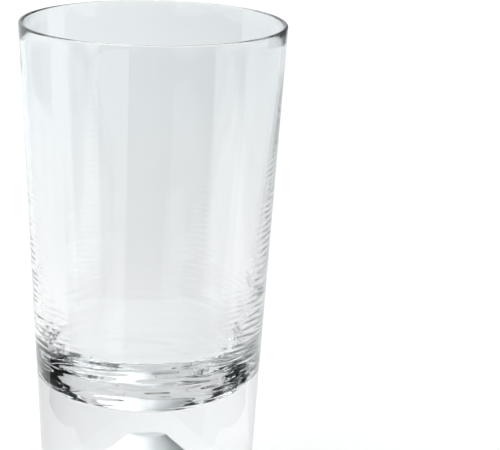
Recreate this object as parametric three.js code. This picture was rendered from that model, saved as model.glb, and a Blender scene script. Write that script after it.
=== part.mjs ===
// A clear glass tumbler: a thin-walled blown bowl fused onto a heavy solid base,
// with a frosted cone-shaped hollow rising into the base from below.
// Millimetres, +Z up. The origin is the centre of the ring that the glass stands on.
import * as THREE from "three";

// Driving dimensions: the outside
const MOUTH_DIAMETER = 75; // outside, across the rim
const FOOT_DIAMETER = 58.8; // outside, where the wall line meets the table
const FOOT_EDGE_RADIUS = 1.4; // rounding of the outer edge that stands on the table

// Driving dimensions: the bowl
const BOWL_DEPTH = 108; // rim to the lowest point inside
const BOWL_FLOOR = 4.2; // glass between that point and the fused joint
const RIM_WALL = 1.2; // wall at the fire-polished rim
const LOW_WALL = 4.1; // wall at full depth, if the bottom were not rounded
const WALL_GROWTH = 1.67; // power by which the wall thickens with depth
const BOTTOM_RISE = 19.2; // height over which the inside rounds in to its bottom
const BOTTOM_ROUND = 1.42; // power of the rounding, up the wall
const BOTTOM_FLAT = 3.3; // power of the rounding, across the bottom

// Driving dimensions: the cone hollow in the base
const CONE_HEIGHT = 24.3; // table to the flat top of the hollow
const CONE_ROOF = 3.5; // glass between the top of the hollow and the fused joint
const CONE_TOP_DIAMETER = 6.8; // flat top of the hollow
const FOOT_RING_WIDTH = 9.4; // standing ring, from the hollow's edge to the wall line
const CONE_SHOULDER = 0.5; // rounding of the frosted layer's own inner top edge
const CONE_LIP_RADIUS = 1.5; // rounding between the hollow and the standing ring

// Driving dimensions: the frosted layer that lines the hollow
const FROST_THICKNESS = 0.4;
const FROST_CLEARANCE = 0.1; // bond line between the layer and the clear glass
const FROST_MARGIN = 1.2; // clear glass left between the layer and the rounded lip

// Facets
const TURN_STEPS = 72; // round the axis
const WALL_STEPS = 12; // down the inside of the wall
const RIM_STEPS = 8; // over the rounded rim
const BOTTOM_STEPS = 18; // round the inside bottom
const EDGE_STEPS = 4; // round each small edge

// Heights and radii worked out from the driving dimensions
const jointHeight = CONE_HEIGHT + CONE_ROOF;
const floorHeight = jointHeight + BOWL_FLOOR;
const bottomTopHeight = floorHeight + BOTTOM_RISE;
const totalHeight = floorHeight + BOWL_DEPTH;
const rimRadius = RIM_WALL / 2;
const rimCentreHeight = totalHeight - rimRadius;
const mouthRadius = MOUTH_DIAMETER / 2;
const footRadius = FOOT_DIAMETER / 2;
const coneTopRadius = CONE_TOP_DIAMETER / 2;
const coneFootRadius = footRadius - FOOT_RING_WIDTH;
const coneLean = Math.atan2(coneFootRadius - coneTopRadius, CONE_HEIGHT); // from the vertical

const point = (radius, height) => new THREE.Vector2(radius, height);

// The outside is one straight taper from the table to the widest line of the rim.
function outerRadiusAt(height) {
  return footRadius + ((mouthRadius - footRadius) * height) / rimCentreHeight;
}

// The wall thickens steadily from the rim down.
function wallAt(height) {
  const depth = rimCentreHeight - height;
  return RIM_WALL + (LOW_WALL - RIM_WALL) * Math.pow(depth / BOWL_DEPTH, WALL_GROWTH);
}

// The inside follows that wall, and at the bottom a superellipse draws it in to the axis.
function innerPoint(height) {
  const below = Math.max(0, bottomTopHeight - height) / BOTTOM_RISE;
  const drawnIn = Math.pow(1 - Math.pow(below, BOTTOM_ROUND), 1 / BOTTOM_FLAT);
  return point((outerRadiusAt(height) - wallAt(height)) * drawnIn, height);
}

// The points of an arc that rounds the corner between two straight runs, tangent to both.
function roundedCorner(before, corner, after, radius, steps) {
  const toBefore = before.clone().sub(corner).normalize();
  const toAfter = after.clone().sub(corner).normalize();
  const halfAngle = Math.acos(toBefore.dot(toAfter)) / 2;
  const bisector = toBefore.clone().add(toAfter).normalize();
  const centre = corner.clone().addScaledVector(bisector, radius / Math.sin(halfAngle));
  const tangentLength = radius / Math.tan(halfAngle);
  const start = corner.clone().addScaledVector(toBefore, tangentLength).sub(centre);
  const end = corner.clone().addScaledVector(toAfter, tangentLength).sub(centre);
  const sweep = Math.atan2(start.cross(end), start.dot(end));
  return Array.from({ length: steps + 1 }, (_, i) =>
    start.clone().rotateAround(point(0, 0), (sweep * i) / steps).add(centre),
  );
}

// The cone hollow's surface, moved inwards by a distance measured square to it.
function coneRadiusAt(height, inset) {
  return coneTopRadius + (CONE_HEIGHT - height) * Math.tan(coneLean) - inset / Math.cos(coneLean);
}

// The shoulder of the cone at an inset: all its surfaces share one centre of rounding.
function coneShoulder(inset) {
  const top = CONE_HEIGHT - inset;
  const radius = CONE_SHOULDER + FROST_THICKNESS + FROST_CLEARANCE - inset;
  const corner = point(coneRadiusAt(top, inset), top);
  const flankFoot = point(coneRadiusAt(0, inset), 0);
  return roundedCorner(point(0, top), corner, flankFoot, radius, EDGE_STEPS);
}

// A closed profile that starts and ends on the axis, turned about +Z.
function turned(profile) {
  return new THREE.LatheGeometry(profile, TURN_STEPS).rotateX(Math.PI / 2);
}

// The bowl: flat underside for the fused joint, tapered wall, fire-polished rim,
// thickening inner wall and rounded bottom. The steps of the bottom are even in the superellipse's own angle.
function bowlProfile() {
  const rim = Array.from({ length: RIM_STEPS + 1 }, (_, i) => {
    const angle = (Math.PI * i) / RIM_STEPS;
    const centre = point(mouthRadius - rimRadius, rimCentreHeight);
    return centre.add(point(Math.cos(angle), Math.sin(angle)).multiplyScalar(rimRadius));
  });
  const wallLength = rimCentreHeight - bottomTopHeight;
  const wall = Array.from({ length: WALL_STEPS }, (_, i) =>
    innerPoint(rimCentreHeight - (wallLength * (i + 1)) / WALL_STEPS),
  );
  const bottom = Array.from({ length: BOTTOM_STEPS - 1 }, (_, i) => {
    const angle = (Math.PI / 2) * (1 - (i + 1) / BOTTOM_STEPS);
    return innerPoint(bottomTopHeight - BOTTOM_RISE * Math.pow(Math.cos(angle), 2 / BOTTOM_ROUND));
  });
  return [
    point(0, jointHeight),
    point(outerRadiusAt(jointHeight), jointHeight),
    ...rim,
    ...wall,
    ...bottom,
    point(0, floorHeight),
  ];
}

// The base: a solid tapered block with the cone hollow, a standing ring and a flat top for the fused joint.
function baseProfile() {
  const coneTop = point(0, CONE_HEIGHT);
  const coneFoot = point(coneFootRadius, 0);
  const ringEdge = point(footRadius, 0);
  const jointEdge = point(outerRadiusAt(jointHeight), jointHeight);
  const shoulder = coneShoulder(0);
  return [
    coneTop,
    ...shoulder,
    ...roundedCorner(shoulder[EDGE_STEPS], coneFoot, ringEdge, CONE_LIP_RADIUS, EDGE_STEPS),
    ...roundedCorner(coneFoot, ringEdge, jointEdge, FOOT_EDGE_RADIUS, EDGE_STEPS),
    jointEdge,
    point(0, jointHeight),
  ];
}

// The frosted layer: a thin shell that follows the hollow and stops short of its rounded lip.
function frostProfile() {
  const outerInset = FROST_CLEARANCE;
  const innerInset = FROST_CLEARANCE + FROST_THICKNESS;
  const bottom = CONE_LIP_RADIUS + FROST_MARGIN;
  return [
    point(0, CONE_HEIGHT - innerInset),
    ...coneShoulder(innerInset),
    point(coneRadiusAt(bottom, innerInset), bottom),
    point(coneRadiusAt(bottom, outerInset), bottom),
    ...coneShoulder(outerInset).reverse(),
    point(0, CONE_HEIGHT - outerInset),
  ];
}

const clearGlass = new THREE.MeshStandardMaterial({
  color: 0xe9f0f0,
  roughness: 0.02,
  metalness: 0,
  transparent: true,
  opacity: 0.35,
});
const frostedGlass = new THREE.MeshStandardMaterial({ color: 0xe8ecee, roughness: 0.55, metalness: 0 });

function piece(name, profile, material) {
  const mesh = new THREE.Mesh(turned(profile), material);
  mesh.name = name;
  return mesh;
}

const tumbler = new THREE.Group();
tumbler.add(piece("bowl", bowlProfile(), clearGlass));
tumbler.add(piece("base", baseProfile(), clearGlass));
tumbler.add(piece("cone_frosting", frostProfile(), frostedGlass));

export default tumbler;
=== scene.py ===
import math

import bpy
import numpy as np
from mathutils import Matrix, Vector


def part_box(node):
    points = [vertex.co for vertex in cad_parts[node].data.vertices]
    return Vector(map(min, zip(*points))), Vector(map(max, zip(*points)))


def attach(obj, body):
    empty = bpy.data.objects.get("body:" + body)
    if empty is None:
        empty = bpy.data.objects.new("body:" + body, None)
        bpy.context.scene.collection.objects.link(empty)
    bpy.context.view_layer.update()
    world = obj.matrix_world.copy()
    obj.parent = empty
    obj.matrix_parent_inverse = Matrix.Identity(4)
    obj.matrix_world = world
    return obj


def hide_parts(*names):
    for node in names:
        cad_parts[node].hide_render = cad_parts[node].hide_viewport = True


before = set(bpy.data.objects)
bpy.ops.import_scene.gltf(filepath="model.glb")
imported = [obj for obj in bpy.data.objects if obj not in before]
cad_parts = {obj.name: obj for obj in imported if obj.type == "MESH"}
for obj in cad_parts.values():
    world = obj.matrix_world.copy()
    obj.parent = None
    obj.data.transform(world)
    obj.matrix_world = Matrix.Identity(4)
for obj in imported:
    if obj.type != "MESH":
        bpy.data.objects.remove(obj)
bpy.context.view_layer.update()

# The clear glass
# Bowl and base are one body of clear soda-lime glass: the bowl is blown into a mould and fused hot onto
# the solid base, and rim and outside are fire-polished. No tool touched the inside, so it sits a little
# off the axis and has fine rings and puckers, which grow towards the bottom.
MM = 0.001
GLASS_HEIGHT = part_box("bowl")[1].z
MOUTH_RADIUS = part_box("bowl")[1].x
FOOT_RADIUS = 29.4 * MM
FOOT_EDGE_RADIUS = 1.4 * MM
BOWL_DEPTH = 108 * MM
RIM_WALL = 1.2 * MM
LOW_WALL = 4.1 * MM
WALL_GROWTH = 1.67
BOTTOM_RISE = 19.2 * MM
BOTTOM_ROUND = 1.42
BOTTOM_FLAT = 3.3
BOTTOM_EASE = 0.12
CONE_HEIGHT = 24.3 * MM
CONE_TOP_RADIUS = 3.4 * MM
CONE_FOOT_RADIUS = 20 * MM
CONE_SHOULDER = 1.0 * MM
CONE_LIP_RADIUS = 1.5 * MM
RING_TOP = 112 * MM

rim_radius = RIM_WALL / 2
rim_height = GLASS_HEIGHT - rim_radius
floor_height = GLASS_HEIGHT - BOWL_DEPTH


def outer_radius(height):
    """Radius of the outside: one straight taper from the table to the rim."""
    return FOOT_RADIUS + (MOUTH_RADIUS - FOOT_RADIUS) * height / rim_height


def inner_wall(height):
    """Points (radius, height) of the inside: the wall thickens with a power of the depth, and below the
    start of the rounded bottom its line is drawn in to the axis by a superellipse with an eased start."""
    depth = (rim_height - height) / BOWL_DEPTH
    wall = outer_radius(height) - RIM_WALL - (LOW_WALL - RIM_WALL) * depth ** WALL_GROWTH
    below = np.clip((floor_height + BOTTOM_RISE - height) / BOTTOM_RISE, 0, 1)
    eased = (below ** 2 + BOTTOM_EASE ** 2) ** (BOTTOM_ROUND / 2) - BOTTOM_EASE ** BOTTOM_ROUND
    eased /= (1 + BOTTOM_EASE ** 2) ** (BOTTOM_ROUND / 2) - BOTTOM_EASE ** BOTTOM_ROUND
    return np.column_stack([wall * (1 - eased) ** (1 / BOTTOM_FLAT), height])


def run(start, end, count):
    """Evenly spaced points on a straight run, without its last point."""
    share = np.linspace(0, 1, count, endpoint=False)[:, None]
    return np.array(start) * (1 - share) + np.array(end) * share


CORNER_ROWS = 7


def rounded(before, corner, after, radius):
    """Points of the arc that rounds a corner: it is tangent to both runs, and its centre lies on the line
    that halves the angle between them."""
    before, corner, after = np.array(before), np.array(corner), np.array(after)
    to_before = (before - corner) / np.linalg.norm(before - corner)
    to_after = (after - corner) / np.linalg.norm(after - corner)
    half = math.acos(float(to_before @ to_after)) / 2
    middle = (to_before + to_after) / np.linalg.norm(to_before + to_after)
    centre = corner + middle * radius / math.sin(half)
    start = corner + to_before * radius / math.tan(half) - centre
    end = corner + to_after * radius / math.tan(half) - centre
    turn = math.atan2(start[0] * end[1] - start[1] * end[0], float(start @ end))
    angle = np.linspace(0, turn, CORNER_ROWS)[:, None]
    square = np.array([-start[1], start[0]])
    return centre + np.cos(angle) * start + np.sin(angle) * square


BOTTOM_ROWS = 110
RINGED_ROWS = 160
SMOOTH_ROWS = 14
RIM_START_ROWS = 2
RIM_ROWS = 13
OUTSIDE_ROWS = 30
FLANK_ROWS = 14
FLAT_ROWS = 4


def glass_profile():
    """The half section of the glass: from the middle of the bowl's floor up the inside, over the rim, down
    the outside, across the standing ring and up the cone hollow to its flat top."""
    # the rows of the bottom are spaced by the superellipse's own angle, so they lie close where it curves
    turn = np.linspace(0, math.pi / 2, BOTTOM_ROWS)
    bottom = inner_wall(floor_height + BOTTOM_RISE * (1 - np.cos(turn) ** (2 / BOTTOM_ROUND)))
    ringed = np.linspace(floor_height + BOTTOM_RISE, RING_TOP, RINGED_ROWS, endpoint=False)
    smooth = np.linspace(RING_TOP, rim_height, SMOOTH_ROWS)
    wall = inner_wall(np.concatenate([ringed, smooth]))
    rim_angle = np.linspace(math.pi, 0, RIM_ROWS)[1:, None]
    rim_centre = np.array([MOUTH_RADIUS - rim_radius, rim_height])
    rim = rim_centre + rim_radius * np.hstack([np.cos(rim_angle), np.sin(rim_angle)])
    foot_corner = (FOOT_RADIUS, 0)
    lip_corner = (CONE_FOOT_RADIUS, 0)
    shoulder_corner = (CONE_TOP_RADIUS, CONE_HEIGHT)
    top = (0, CONE_HEIGHT)
    foot = rounded(rim[-1], foot_corner, lip_corner, FOOT_EDGE_RADIUS)
    lip = rounded(foot_corner, lip_corner, shoulder_corner, CONE_LIP_RADIUS)
    shoulder = rounded(lip_corner, shoulder_corner, top, CONE_SHOULDER)
    return np.vstack([
        bottom[:-1],
        wall[:-1],
        run(wall[-1], rim[0], RIM_START_ROWS),
        rim[:-1],
        run(rim[-1], foot[0], OUTSIDE_ROWS),
        foot[:-1],
        run(foot[-1], lip[0], FLAT_ROWS),
        lip[:-1],
        run(lip[-1], shoulder[0], FLANK_ROWS),
        shoulder[:-1],
        run(shoulder[-1], top, FLAT_ROWS),
        [top],
    ])


TURN_STEPS = 264


def turned_mesh(name, profile, swell=None):
    """A closed body of revolution: the profile's points turned about the axis, each moved by swell along
    the profile's own normal. The first and last points lie on the axis and become single pole points."""
    angle = np.linspace(0, 2 * math.pi, TURN_STEPS, endpoint=False)
    along = np.gradient(profile, axis=0)
    normal = np.column_stack([along[:, 1], -along[:, 0]])
    normal /= np.linalg.norm(normal, axis=1)[:, None]
    inside, normal = profile[1:-1], normal[1:-1]
    rows = len(inside)
    moved = np.zeros((rows, TURN_STEPS)) if swell is None else swell(inside, normal, angle)
    radius = inside[:, :1] + normal[:, :1] * moved
    height = inside[:, 1:] + normal[:, 1:] * moved
    grid = np.stack([radius * np.cos(angle), radius * np.sin(angle), height], axis=-1)
    poles = np.array([[0, 0, profile[0, 1]], [0, 0, profile[-1, 1]]])
    points = np.vstack([grid.reshape(-1, 3), poles])
    index = np.arange(rows * TURN_STEPS).reshape(rows, TURN_STEPS)
    beside = np.roll(index, -1, axis=1)
    quads = np.stack([index[:-1], index[1:], beside[1:], beside[:-1]], axis=-1).reshape(-1, 4)
    first, last = rows * TURN_STEPS, rows * TURN_STEPS + 1
    first_fan = np.column_stack([np.full(TURN_STEPS, first), index[0], beside[0]])
    last_fan = np.column_stack([np.full(TURN_STEPS, last), beside[-1], index[-1]])
    mesh = bpy.data.meshes.new(name)
    mesh.from_pydata(points.tolist(), [], quads.tolist() + first_fan.tolist() + last_fan.tolist())
    mesh.polygons.foreach_set("use_smooth", np.ones(len(mesh.polygons), bool))
    mesh.update()
    piece = bpy.data.objects.new(name, mesh)
    bpy.context.scene.collection.objects.link(piece)
    return piece


WAVE_COUNT = 40


def random_waves(seed, along, angle, lengths, rounds):
    """A sum of random waves, scaled to about 1: each has its own length down the profile, its own whole
    number of turns round the glass and its own start."""
    chance = np.random.default_rng(seed)
    total = np.zeros((len(along), len(angle)))
    for length, turns, start in zip(
        chance.uniform(*lengths, WAVE_COUNT),
        chance.integers(-rounds, rounds + 1, WAVE_COUNT),
        chance.uniform(0, 2 * math.pi, WAVE_COUNT),
    ):
        total += np.cos(turns * angle[None, :] + 2 * math.pi * along[:, None] / length + start)
    return total / math.sqrt(WAVE_COUNT / 2)


def ramp(value, start, end):
    """0 at the start, 1 at the end and straight between."""
    return np.clip((value - start) / (end - start), 0, 1)


INSIDE_DRIFT = -1.25 * MM
DRIFT_HEIGHTS = (125 * MM, 45 * MM)
RING_DEPTH = 0.08 * MM
RING_HEIGHTS = (RING_TOP, 48 * MM)
RING_END_HEIGHTS = (42 * MM, 49 * MM)
RING_SEED = 7
RING_LENGTHS = (1.35 * MM, 2.3 * MM)
RING_ROUNDS = 9
SEAM_TURN = math.radians(6)
SEAM_SPREAD = math.radians(13)
SEAM_WIDENING = math.radians(25)
SEAM_HEIGHTS = (80 * MM, 47 * MM)
SEAM_MEAN = 0.8
SEAM_TILT = 0.2
PUCKER_DEPTH = 0.06 * MM
PUCKER_HEIGHTS = (57 * MM, 46 * MM)
PUCKER_RADII = (5 * MM, 18 * MM)
PUCKER_SEED = 11
PUCKER_LENGTHS = (2.4 * MM, 6.0 * MM)
PUCKER_ROUNDS = 5
RIM_CLEARANCE = 1.05 * RIM_WALL
FLOOR_CLEARANCE = 0.5 * MM


def blown_inside(points, normal, angle):
    """How the inside departs from a true turning: a drift to one side that grows downwards, rings that
    gather in a bell curve along the two seams of the mould, and puckers over the bottom. The rings reach
    wider and deeper further down and are stronger on the right."""
    radius, height = points[:, 0], points[:, 1]
    along = np.concatenate([[0], np.cumsum(np.linalg.norm(np.diff(points, axis=0), axis=1))])
    inside = (radius < outer_radius(height) - RIM_CLEARANCE) & (height > floor_height - FLOOR_CLEARANCE)
    drift = INSIDE_DRIFT * ramp(height, *DRIFT_HEIGHTS) * normal[:, 0] * inside
    rings = RING_DEPTH * ramp(height, *RING_HEIGHTS) * ramp(height, *RING_END_HEIGHTS) * inside
    spread = SEAM_SPREAD + SEAM_WIDENING * ramp(height, *SEAM_HEIGHTS)
    from_seam = np.arcsin(np.sin(angle)) + SEAM_TURN
    seam = np.exp(-((from_seam[None, :] / spread[:, None]) ** 2)) * (SEAM_MEAN + SEAM_TILT * np.cos(angle))
    puckers = PUCKER_DEPTH * ramp(height, *PUCKER_HEIGHTS) * ramp(radius, *PUCKER_RADII) * inside
    return (
        drift[:, None] * np.cos(angle)
        + rings[:, None] * seam * random_waves(RING_SEED, along, angle, RING_LENGTHS, RING_ROUNDS)
        + puckers[:, None] * random_waves(PUCKER_SEED, along, angle, PUCKER_LENGTHS, PUCKER_ROUNDS)
    )


def grain(material, counts, detail):
    """A soft random value over a piece: noise in its own coordinates, with its own count per metre along
    each axis."""
    nodes, links = material.node_tree.nodes, material.node_tree.links
    place = nodes.new("ShaderNodeTexCoord")
    scaled = nodes.new("ShaderNodeMapping")
    scaled.inputs["Scale"].default_value = counts
    noise = nodes.new("ShaderNodeTexNoise")
    noise.inputs["Scale"].default_value = 1.0
    noise.inputs["Detail"].default_value = detail
    links.new(place.outputs["Object"], scaled.inputs["Vector"])
    links.new(scaled.outputs["Vector"], noise.inputs["Vector"])
    return noise.outputs["Fac"]


CLOUD_DETAIL = 2
DENT_DETAIL = 1
CLOUD_RANGE = (0.3, 0.7)


def uneven_surface(material, clouds, shades, roughness, dents, depth):
    """The small unevenness of a made surface: one random value moves the colour between two shades and the
    roughness between two values, and a finer one dents the surface by up to the depth."""
    nodes, links = material.node_tree.nodes, material.node_tree.links
    shader = nodes["Principled BSDF"]
    cloud = grain(material, clouds, CLOUD_DETAIL)
    shade = nodes.new("ShaderNodeValToRGB")
    for stop, place, colour in zip(shade.color_ramp.elements, CLOUD_RANGE, shades):
        stop.position = place
        stop.color = (*colour, 1)
    links.new(cloud, shade.inputs["Fac"])
    links.new(shade.outputs["Color"], shader.inputs["Base Color"])
    rough = nodes.new("ShaderNodeMapRange")
    for name, value in zip(("From Min", "From Max", "To Min", "To Max"), (*CLOUD_RANGE, *roughness)):
        rough.inputs[name].default_value = value
    links.new(cloud, rough.inputs["Value"])
    links.new(rough.outputs["Result"], shader.inputs["Roughness"])
    bump = nodes.new("ShaderNodeBump")
    bump.inputs["Strength"].default_value = 1.0
    bump.inputs["Distance"].default_value = depth
    links.new(grain(material, dents, DENT_DETAIL), bump.inputs["Height"])
    links.new(bump.outputs["Normal"], shader.inputs["Normal"])


GLASS_SHADES = ((0.976, 0.985, 0.988), (0.984, 0.991, 0.993))
GLASS_ROUGHNESS = (0.0, 0.003)
GLASS_CLOUDS = (30, 30, 30)
GLASS_STREAKS = (110, 110, 9)
STREAK_DEPTH = 0.02 * MM
GLASS_BENDING = 1.52
DEPTH_COLOUR = (0.76, 0.79, 0.8, 1)
DEPTH_DENSITY = 5.0


def clear_glass():
    """Soda-lime glass with a cool tint that grows with its thickness, and faint streaks down its sides."""
    material = bpy.data.materials.new("soda_glass")
    material.use_nodes = True
    uneven_surface(material, GLASS_CLOUDS, GLASS_SHADES, GLASS_ROUGHNESS, GLASS_STREAKS, STREAK_DEPTH)
    nodes, links = material.node_tree.nodes, material.node_tree.links
    shader = nodes["Principled BSDF"]
    shader.inputs["IOR"].default_value = GLASS_BENDING
    shader.inputs["Transmission Weight"].default_value = 1.0
    depth = nodes.new("ShaderNodeVolumeAbsorption")
    depth.inputs["Color"].default_value = DEPTH_COLOUR
    depth.inputs["Density"].default_value = DEPTH_DENSITY
    links.new(depth.outputs["Volume"], nodes["Material Output"].inputs["Volume"])
    return material


tumbler_glass = turned_mesh("tumbler_glass", glass_profile(), blown_inside)
tumbler_glass.data.materials.append(clear_glass())
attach(tumbler_glass, "root")
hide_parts("bowl", "base")

# The frosted cone
# The wall of the cone hollow is etched to a fine satin, so the clear base shows a pale cone with a flat
# top. It is a skin of the glass itself and stops a little above the standing ring.
FROST_THICKNESS = 0.4 * MM
FROST_GRIP = 0.04 * MM
FROST_FOOT = 2.7 * MM
FROST_FLANK_ROWS = 20
cone_lean = math.atan2(CONE_FOOT_RADIUS - CONE_TOP_RADIUS, CONE_HEIGHT)


def cone_point(height, inset):
    """Point on the cone's flank at a height, moved in square to the flank."""
    radius = CONE_TOP_RADIUS + (CONE_HEIGHT - height) * math.tan(cone_lean)
    return (radius - inset / math.cos(cone_lean), height)


def frost_profile():
    """The half section of the thin frosted shell, from its inner top round its lower edge to its outer top.
    Both sides are the hollow's section moved square to itself, the outer one a little into the glass."""
    sides = []
    for inset in (FROST_THICKNESS, -FROST_GRIP):
        top = CONE_HEIGHT - inset
        bottom = cone_point(FROST_FOOT, inset)
        arc = rounded((0, top), cone_point(top, inset), bottom, CONE_SHOULDER - inset)
        flat = run((0, top), arc[0], FLAT_ROWS)
        flank = run(arc[-1], bottom, FROST_FLANK_ROWS)
        sides.append(np.vstack([flat, arc[:-1], flank, [bottom]]))
    return np.vstack([sides[0], sides[1][::-1]])


SATIN_SHADES = ((0.57, 0.6, 0.61), (0.6, 0.63, 0.64))
SATIN_ROUGHNESS = (0.35, 0.5)
SATIN_CLOUDS = (160, 160, 160)
SATIN_GRAIN = (2000, 2000, 2000)
GRAIN_DEPTH = 0.005 * MM


def satin_glass():
    """Satin etched glass: pale, with soft clouds and a fine grain."""
    material = bpy.data.materials.new("satin_glass")
    material.use_nodes = True
    uneven_surface(material, SATIN_CLOUDS, SATIN_SHADES, SATIN_ROUGHNESS, SATIN_GRAIN, GRAIN_DEPTH)
    return material


frosted_cone = turned_mesh("frosted_cone", frost_profile())
frosted_cone.data.materials.append(satin_glass())
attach(frosted_cone, "root")
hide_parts("cone_frosting")

# The floor
# A wide matt sheet that the glass stands on. Seen by the camera, or by way of the glass, it has a white of
# its own, which turns cooler further off. By way of the glass only, that white holds painted light: a
# painted pool of light near the glass and painted shade to the right. The light that falls on it adds the
# rest and leaves the shadow.
FLOOR_SIZE = 12.0
FLOOR_DROP = 0.2 * MM
FLOOR_GREY = 0.045
FLOOR_WHITE = 0.8
TO_THE_RIGHT = (0.95, 0.1, 0)
# painted shade to the right and a painted pool of light near the glass, in the glow that only the glass sees
PAINTED_RIGHT_SHADE_STEP = {"start": -0.08, "end": 0.2, "low": 0.69, "high": 0.49}
PAINTED_NEAR_LIGHT_STEP = {"start": 0.08, "end": 0.3, "low": 0.09, "high": 0.0}
TINT_REACH = {"start": 0.2, "end": 0.65, "low": 0.0, "high": 1.0}
NEAR_AND_FAR_TINT = ((0.945, 0.955, 0.96), (0.9, 0.97, 1))
HALF_A_COUNT = 0.5


def soft_step(tree, value, start, end, low, high):
    """A soft change of a node's value from low at the start to high at the end."""
    fade = tree.nodes.new("ShaderNodeMapRange")
    fade.interpolation_type = "SMOOTHSTEP"
    tree.links.new(value, fade.inputs["Value"])
    for name, number in zip(("From Min", "From Max", "To Min", "To Max"), (start, end, low, high)):
        fade.inputs[name].default_value = number
    return fade.outputs["Result"]


def arithmetic(tree, operation, *terms):
    """One step of arithmetic on nodes' values and plain numbers."""
    step = tree.nodes.new("ShaderNodeMath")
    step.operation = operation
    for port, term in zip(step.inputs, terms):
        if isinstance(term, (int, float)):
            port.default_value = term
        else:
            tree.links.new(term, port)
    return step.outputs["Value"]


bpy.ops.mesh.primitive_plane_add(size=FLOOR_SIZE, location=(0, 0, -FLOOR_DROP))
floor = bpy.context.object
floor.name = "floor"
floor_paint = bpy.data.materials.new("floor_paint")
floor_paint.use_nodes = True
floor_tree = floor_paint.node_tree
floor_shader = floor_tree.nodes["Principled BSDF"]
floor_shader.inputs["Base Color"].default_value = (FLOOR_GREY, FLOOR_GREY, FLOOR_GREY, 1)
floor_shader.inputs["Roughness"].default_value = 1.0
floor_shader.inputs["Specular IOR Level"].default_value = 0.0
seen = floor_tree.nodes.new("ShaderNodeLightPath").outputs
place = floor_tree.nodes.new("ShaderNodeTexCoord").outputs["Object"]
sideways = floor_tree.nodes.new("ShaderNodeVectorMath")
sideways.operation = "DOT_PRODUCT"
sideways.inputs[1].default_value = TO_THE_RIGHT
floor_tree.links.new(place, sideways.inputs[0])
distance = floor_tree.nodes.new("ShaderNodeVectorMath")
distance.operation = "LENGTH"
floor_tree.links.new(place, distance.inputs[0])
# painted light in the glow that the glass sees: painted shade to the right, a painted pool of light near the
# glass
painted_right_shade = soft_step(floor_tree, sideways.outputs["Value"], **PAINTED_RIGHT_SHADE_STEP)
painted_near_light = soft_step(floor_tree, distance.outputs["Value"], **PAINTED_NEAR_LIGHT_STEP)
painted_glass_glow = arithmetic(floor_tree, "ADD", painted_right_shade, painted_near_light)
by_glass = arithmetic(floor_tree, "MAXIMUM", seen["Is Glossy Ray"], seen["Is Transmission Ray"])
unscattered = arithmetic(floor_tree, "LESS_THAN", seen["Diffuse Depth"], HALF_A_COUNT)
by_glass = arithmetic(floor_tree, "MULTIPLY", by_glass, unscattered)
by_glass = arithmetic(floor_tree, "MULTIPLY", by_glass, painted_glass_glow)
by_camera = arithmetic(floor_tree, "MULTIPLY", seen["Is Camera Ray"], FLOOR_WHITE)
shown = arithmetic(floor_tree, "MAXIMUM", by_glass, by_camera)
floor_tree.links.new(shown, floor_shader.inputs["Emission Strength"])
tint = floor_tree.nodes.new("ShaderNodeValToRGB")
for stop, colour in zip(tint.color_ramp.elements, NEAR_AND_FAR_TINT):
    stop.color = (*colour, 1)
floor_tree.links.new(soft_step(floor_tree, distance.outputs["Value"], **TINT_REACH), tint.inputs["Fac"])
floor_tree.links.new(tint.outputs["Color"], floor_shader.inputs["Emission Color"])
floor.data.materials.append(floor_paint)

# The studio light
# The floor and the frosted cone are matt: a big soft lamp at the front left lights them, with another high
# at the back left and a weak light all round. The clear glass mirrors a dark room with a weak glow
# overhead and a brighter one at the back.
world = bpy.data.worlds.new("studio")
bpy.context.scene.world = world
world.use_nodes = True
studio = world.node_tree
direction = studio.nodes.new("ShaderNodeTexCoord").outputs["Generated"]


def glow(towards, start, end, low, high):
    """Light by direction: the share of a direction along a vector, softly changed from low to high."""
    share = studio.nodes.new("ShaderNodeVectorMath")
    share.operation = "DOT_PRODUCT"
    share.inputs[1].default_value = towards
    studio.links.new(direction, share.inputs[0])
    return soft_step(studio, share.outputs["Value"], start, end, low, high)


overhead = glow((0, 0, 1), start=0.7, end=0.95, low=0.01, high=0.35)
at_the_back = glow((-0.35, 0.83, 0.43), start=0.72, end=0.96, low=0.0, high=0.95)
key_lamp = glow((-0.6, -0.55, 0.58), start=0.84, end=0.92, low=0.0, high=26.0)
back_lamp = glow((-0.4, 0.45, 0.8), start=0.84, end=0.96, low=0.0, high=30.0)
all_round = glow((0, -0.3, 0.95), start=-0.2, end=0.9, low=0.02, high=0.15)
on_glass = arithmetic(studio, "ADD", overhead, at_the_back)
on_matt = arithmetic(studio, "ADD", key_lamp, arithmetic(studio, "ADD", all_round, back_lamp))
scatters = studio.nodes.new("ShaderNodeLightPath").outputs["Diffuse Depth"]
choice = studio.nodes.new("ShaderNodeMix")
studio.links.new(arithmetic(studio, "GREATER_THAN", scatters, HALF_A_COUNT), choice.inputs["Factor"])
studio.links.new(on_glass, choice.inputs["A"])
studio.links.new(on_matt, choice.inputs["B"])
studio.links.new(choice.outputs["Result"], studio.nodes["Background"].inputs["Color"])
studio.nodes["Background"].inputs["Strength"].default_value = 1.0

# The pale pads
# Three soft strips of light lie flat on the floor and face up, for the walls of the glass to mirror. Each is
# a thin lamp that fades out at its edges. The camera and matt surfaces don't see them.
PAD_LENGTH = 1.0
PAD_LIFT = 1 * MM
END_FADE = 0.12


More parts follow.
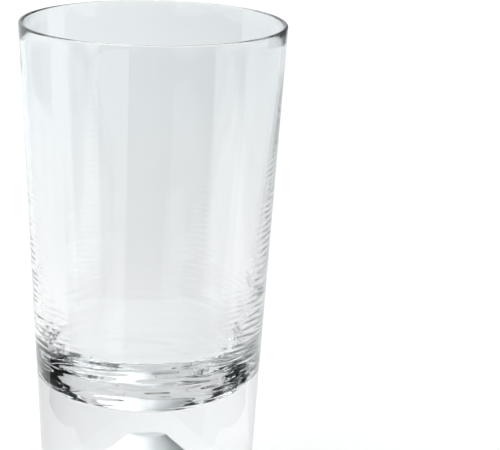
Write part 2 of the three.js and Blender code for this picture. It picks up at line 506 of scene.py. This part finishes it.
def pad(name, width, shine, fade, start, bearing):
    """A rectangular lamp on the floor. The middle of its near end is at the start, and it runs away along a
    bearing in degrees, which turns from the camera's side, positive to the right. The shine is its own
    brightness, where 1 is white. It fades out at its two long edges over the given shares of its width."""
    lamp = bpy.data.lights.new(name, "AREA")
    lamp.shape = "RECTANGLE"
    lamp.size, lamp.size_y = width, PAD_LENGTH
    lamp.energy = shine * math.pi * width * PAD_LENGTH
    lamp.use_nodes = True
    tree = lamp.node_tree
    across = tree.nodes.new("ShaderNodeSeparateXYZ")
    tree.links.new(tree.nodes.new("ShaderNodeNewGeometry").outputs["Parametric"], across.inputs[0])
    strength = 1.0
    for axis, edge, inner in (
        ("X", 0.0, fade[0]),
        ("X", 1.0, 1.0 - fade[1]),
        ("Y", 0.0, END_FADE),
        ("Y", 1.0, 1.0 - END_FADE),
    ):
        share = soft_step(tree, across.outputs[axis], edge, inner, 0.0, 1.0)
        strength = arithmetic(tree, "MULTIPLY", strength, share)
    tree.links.new(strength, tree.nodes["Emission"].inputs["Strength"])
    holder = bpy.data.objects.new(name, lamp)
    bpy.context.scene.collection.objects.link(holder)
    turn = math.radians(bearing)
    away = Vector((math.sin(turn), -math.cos(turn), 0))
    holder.location = Vector((*start, PAD_LIFT)) + away * PAD_LENGTH / 2
    holder.rotation_euler = (math.pi, 0, turn)
    holder.visible_camera = False
    holder.visible_diffuse = False


pad("right_pad", width=0.23, shine=0.92, fade=(0.1, 0.4), start=(0.15, 0.03), bearing=53)
pad("left_pad", width=0.25, shine=0.9, fade=(0.001, 0.4), start=(-0.1, -0.155), bearing=-90)
pad("front_pad", width=0.4, shine=0.7, fade=(0.45, 0.001), start=(-0.221, -0.005), bearing=-19)

# The dark cards: painted dark reflections
# Flat black cards lie on the floor in front and far to the right. Only the glass sees them, so the bottom
# and the right edge of the glass pick up their black as painted dark reflections. A straight look through
# both walls crosses four faces, too few to show the wide front card, so the glass stays clear. The camera
# and matt surfaces see none of the cards.
PAINTED_REFLECTION_BLACK = (0.0008, 0.0014, 0.0016, 1)
CARD_LIFT = 0.5 * MM
FAR_REACH = 6
MIRROR_WEIGHT = 10
ANY_CROSSINGS = 0
BOTTOM_CROSSINGS = 3
PAST_STRAIGHT_CROSSINGS = 5


def card(name, corners, crossings):
    """A flat dark card, a painted dark reflection: it is seen by light that the glass has mirrored or that
    has crossed at least this many faces of it. It lets all other light through."""
    mesh = bpy.data.meshes.new(name)
    mesh.from_pydata([(x, y, CARD_LIFT) for x, y in corners], [], [range(len(corners))])
    holder = bpy.data.objects.new(name, mesh)
    bpy.context.scene.collection.objects.link(holder)
    holder.visible_camera = False
    holder.visible_diffuse = False
    holder.visible_shadow = False
    paint = bpy.data.materials.new(name)
    paint.use_nodes = True
    tree = paint.node_tree
    black = tree.nodes["Principled BSDF"]
    # painted dark reflection: this black shows only by way of the glass
    black.inputs["Base Color"].default_value = PAINTED_REFLECTION_BLACK
    black.inputs["Specular IOR Level"].default_value = 0.0
    clear = tree.nodes.new("ShaderNodeBsdfTransparent")
    ray = tree.nodes.new("ShaderNodeLightPath").outputs
    counted = arithmetic(tree, "MULTIPLY_ADD", ray["Glossy Depth"], MIRROR_WEIGHT, ray["Transmission Depth"])
    mix = tree.nodes.new("ShaderNodeMixShader")
    tree.links.new(arithmetic(tree, "LESS_THAN", counted, crossings - HALF_A_COUNT), mix.inputs["Fac"])
    tree.links.new(black.outputs["BSDF"], mix.inputs[1])
    tree.links.new(clear.outputs["BSDF"], mix.inputs[2])
    tree.links.new(mix.outputs["Shader"], tree.nodes["Material Output"].inputs["Surface"])
    mesh.materials.append(paint)


def mirrored_in_x(corners):
    """The same corners on the other side of the glass, in the opposite order."""
    return [(-x, y) for x, y in corners[::-1]]


left_bow = [(-0.155, -0.03), (-0.134, -0.078), (-0.078, -0.134)]
near_bow = left_bow + [(0, -0.155)] + mirrored_in_x(left_bow)
right_wing = [(0.145, 0.05), (0.1, 0.04), (0.09, -0.03), (0.05, -0.05)]
far_left = [(-FAR_REACH, -0.03), (-FAR_REACH, -FAR_REACH)]
card("near_card", near_bow + right_wing + mirrored_in_x(right_wing), BOTTOM_CROSSINGS)
card("front_card", near_bow[::-1] + far_left + mirrored_in_x(far_left), PAST_STRAIGHT_CROSSINGS)
card("right_card", [(0.64, 0.26), (3, 1.2), (1.4, 3), (0.29, 0.63), (0.49, 0.49)], ANY_CROSSINGS)

# The camera
# It stands in front of the glass, above the rim, with a long lens, where the rim and both sides fall as they
# do in the photograph. Its angles, in radians, turn it to the right, tip it down and lift its right side.
CAMERA_BACK = 800 * MM
CAMERA_ABOVE_RIM = 138.5 * MM
CAMERA_YAW = 0.0352
CAMERA_PITCH = 0.2403
CAMERA_ROLL = 0.0238
FOCAL_PIXELS = 2915.2
PHOTO_WIDTH = 500
SENSOR_WIDTH = 36
NEAREST = 0.01
FURTHEST = 100

camera_data = bpy.data.cameras.new("camera")
camera = bpy.data.objects.new("camera", camera_data)
bpy.context.scene.collection.objects.link(camera)
forward = Vector((
    math.sin(CAMERA_YAW) * math.cos(CAMERA_PITCH),
    math.cos(CAMERA_YAW) * math.cos(CAMERA_PITCH),
    -math.sin(CAMERA_PITCH),
))
level_right = Vector((math.cos(CAMERA_YAW), -math.sin(CAMERA_YAW), 0))
level_up = level_right.cross(forward)
right = level_right * math.cos(CAMERA_ROLL) + level_up * math.sin(CAMERA_ROLL)
up = level_up * math.cos(CAMERA_ROLL) - level_right * math.sin(CAMERA_ROLL)
camera.matrix_world = Matrix.Translation((0, -CAMERA_BACK, GLASS_HEIGHT + CAMERA_ABOVE_RIM)) @ Matrix((
    (right.x, up.x, -forward.x, 0),
    (right.y, up.y, -forward.y, 0),
    (right.z, up.z, -forward.z, 0),
    (0, 0, 0, 1),
))
camera_data.sensor_width = SENSOR_WIDTH
camera_data.lens = SENSOR_WIDTH * FOCAL_PIXELS / PHOTO_WIDTH
camera_data.clip_start = NEAREST
camera_data.clip_end = FURTHEST
bpy.context.scene.camera = camera

# Colour and light paths
# Colours are shown as they are, with no film curve. Light is bent and mirrored many times inside thick
# glass before it comes out, so its paths are followed for long.
MOST_BOUNCES = 200
scene = bpy.context.scene
scene.view_settings.view_transform = "Standard"
scene.cycles.max_bounces = MOST_BOUNCES
scene.cycles.transmission_bounces = MOST_BOUNCES
scene.cycles.glossy_bounces = MOST_BOUNCES
